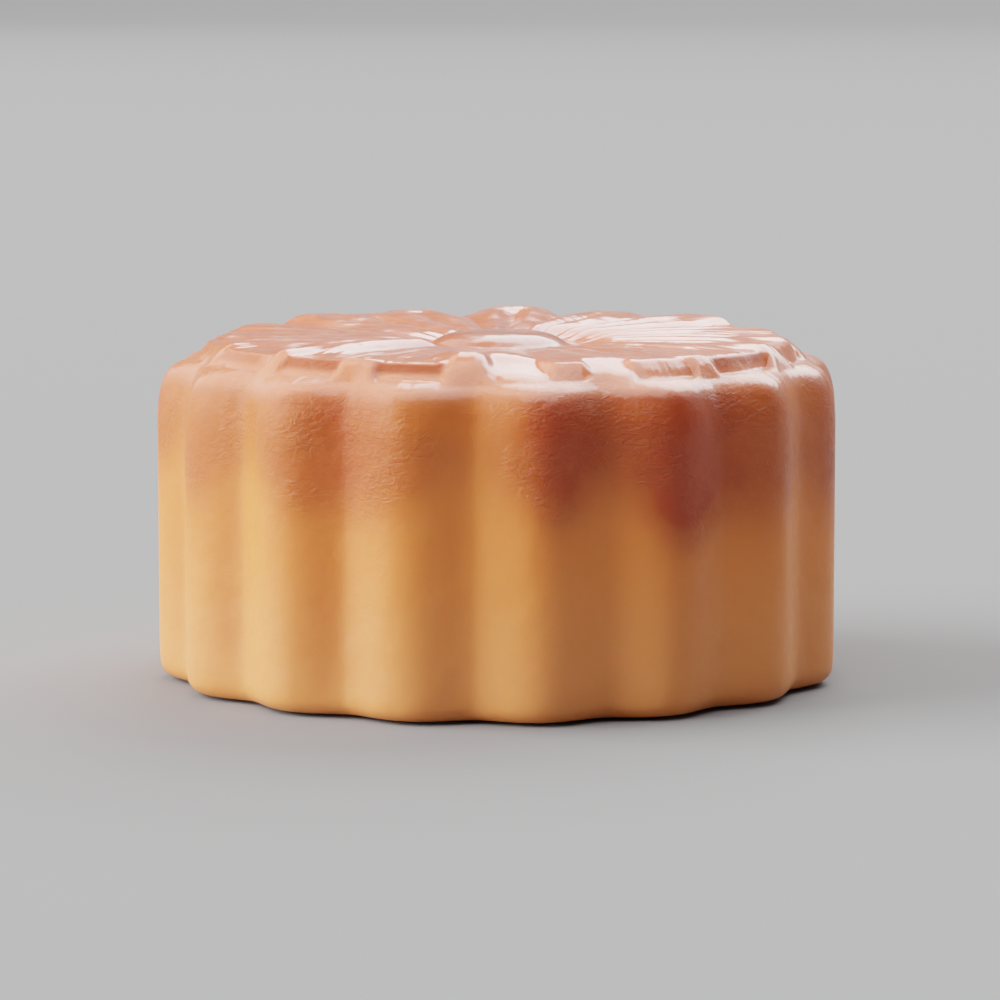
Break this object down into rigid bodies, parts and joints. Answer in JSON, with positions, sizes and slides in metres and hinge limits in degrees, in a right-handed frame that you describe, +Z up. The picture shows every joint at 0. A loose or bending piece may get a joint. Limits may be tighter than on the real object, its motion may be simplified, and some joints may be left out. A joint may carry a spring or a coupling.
{
  "type": "mooncake",
  "caption": "Round baked mooncake with a fluted side, a soft shoulder and a flower of petals round a low button pressed into its glazed top.",
  "frame": {"origin": "middle of the flat bottom that the cake rests on", "axes": "+Z up through the middle of the cake, -Y towards the side that shows first, X across"},
  "size_m": [0.0696, 0.0695, 0.0355],
  "materials": {
    "crust": "satin"
  },
  "bodies": {
    "root": {"mooncake": "crust"}
  },
  "joints": []
}
